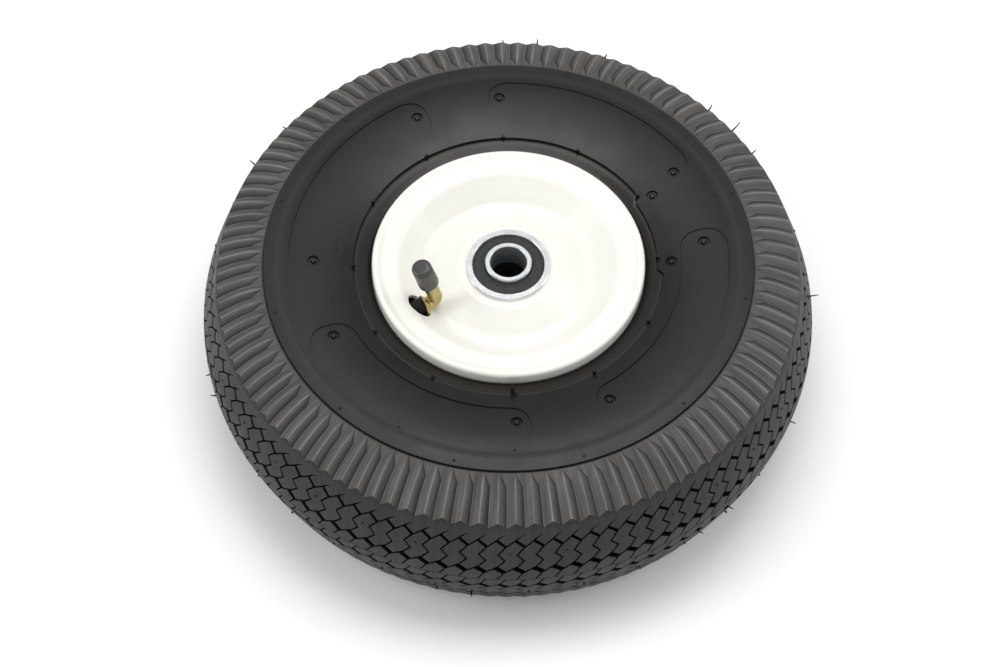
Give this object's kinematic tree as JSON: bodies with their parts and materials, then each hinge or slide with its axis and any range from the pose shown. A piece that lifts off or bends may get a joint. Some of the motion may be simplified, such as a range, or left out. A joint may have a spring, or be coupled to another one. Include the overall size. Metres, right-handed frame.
{
  "type": "wheel",
  "caption": "Small pneumatic cart wheel lying flat: treaded rubber tyre on a white pressed-steel rim, flanged ball bearings for an axle, and a bent brass air valve with a cap.",
  "frame": {"origin": "centre of the wheel: middle of the axle bore, on the tyre's mid-plane", "axes": "+Z along the axle towards the valve side; the wheel lies flat on its back sidewall; +X and +Y in the wheel's plane, with the valve at 208 degrees from +X"},
  "size_m": [0.269, 0.269, 0.1043],
  "materials": {
    "tyre_rubber": "moulded, satin",
    "tube_rubber": "smooth",
    "rim_paint": "gloss white",
    "bearing_steel": "zinc plated",
    "ball_steel": "polished",
    "cage_nylon": "moulded",
    "seal_rubber": "matt",
    "valve_brass": "dull",
    "spring_steel": "plain",
    "cap_plastic": "satin"
  },
  "bodies": {
    "wheel": {"tyre": "tyre_rubber", "inner_tube": "tube_rubber", "rim_barrel": "rim_paint", "face_disc_front": "rim_paint", "face_disc_back": "rim_paint", "hub_tube": "rim_paint", "front_bearing_outer_ring": "bearing_steel", "front_bearing_outer_seal": "seal_rubber", "front_bearing_inner_seal": "seal_rubber", "back_bearing_outer_ring": "bearing_steel", "back_bearing_outer_seal": "seal_rubber", "back_bearing_inner_seal": "seal_rubber", "valve_neck": "seal_rubber", "valve_stem": "valve_brass", "valve_core_body": "valve_brass", "valve_core_spring": "spring_steel"},
    "front_inner_ring": {"front_bearing_inner_ring": "bearing_steel"},
    "front_ball_set": {"front_bearing_balls": "ball_steel", "front_bearing_cage": "cage_nylon"},
    "back_inner_ring": {"back_bearing_inner_ring": "bearing_steel"},
    "back_ball_set": {"back_bearing_balls": "ball_steel", "back_bearing_cage": "cage_nylon"},
    "valve_pin": {"valve_core_pin": "valve_brass", "valve_core_seal": "seal_rubber"},
    "valve_cap": {"valve_cap": "cap_plastic", "valve_cap_seal": "seal_rubber"}
  },
  "joints": [
    {"name": "front_inner_ring_spin", "type": "hinge", "parent": "wheel", "child": "front_inner_ring", "pos_m": [0, 0, 0.03077], "axis": [0, 0, 1], "continuous": true},
    {"name": "front_ball_set_spin", "type": "hinge", "parent": "wheel", "child": "front_ball_set", "pos_m": [0, 0, 0.03077], "axis": [0, 0, 1], "continuous": true},
    {"name": "back_inner_ring_spin", "type": "hinge", "parent": "wheel", "child": "back_inner_ring", "pos_m": [0, 0, -0.03077], "axis": [0, 0, 1], "continuous": true},
    {"name": "back_ball_set_spin", "type": "hinge", "parent": "wheel", "child": "back_ball_set", "pos_m": [0, 0, -0.03077], "axis": [0, 0, 1], "continuous": true},
    {"name": "valve_pin_press", "type": "slide", "parent": "wheel", "child": "valve_pin", "axis": [0.2057, 0.1103, -0.9724], "range_m": [0, 0.0012], "stiffness_N_per_m": 600, "deforming": ["valve_core_spring"]},
    {"name": "valve_cap_lift", "type": "slide", "parent": "wheel", "child": "valve_cap", "axis": [-0.2057, -0.1103, 0.9724], "range_m": [0, 0.014]}
  ],
  "couplings": [
    {"joint": "front_ball_set_spin", "follows": "front_inner_ring_spin", "ratio": 0.3828},
    {"joint": "back_ball_set_spin", "follows": "back_inner_ring_spin", "ratio": 0.3828}
  ]
}
